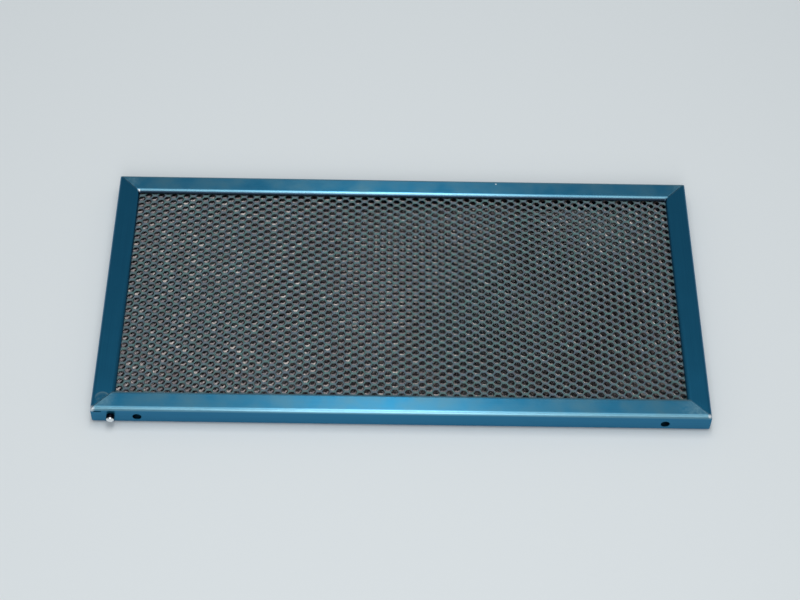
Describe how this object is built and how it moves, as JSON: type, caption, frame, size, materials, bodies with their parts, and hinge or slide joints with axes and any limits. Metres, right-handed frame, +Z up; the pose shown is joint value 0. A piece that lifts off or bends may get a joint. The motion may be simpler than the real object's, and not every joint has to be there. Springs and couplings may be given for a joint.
{
  "type": "cooker hood grease filter",
  "caption": "Flat rectangular grease filter: layers of fine expanded-metal mesh clamped in a folded, mitred channel frame, with peg holes in its front wall",
  "frame": {"origin": "under the middle of the frame, on the plane of its lower flanges", "axes": "+X along the long side, +Y from the wall with the peg holes to the opposite wall, +Z up through the mesh"},
  "size_m": [0.3, 0.153, 0.0115],
  "materials": {
    "frame_metal": "satin rolled sheet with a blue sheen, brighter along its bends",
    "rivet_metal": "bright bare metal",
    "face_mesh_metal": "dull grey expanded sheet",
    "inner_mesh_metal": "dull grey expanded sheet, in shade"
  },
  "bodies": {
    "root": {"frame": "frame_metal", "closing_rivet": "rivet_metal", "top_mesh": "face_mesh_metal", "upper_inner_mesh": "inner_mesh_metal", "middle_inner_mesh": "inner_mesh_metal", "lower_inner_mesh": "inner_mesh_metal", "bottom_mesh": "face_mesh_metal"}
  },
  "joints": []
}
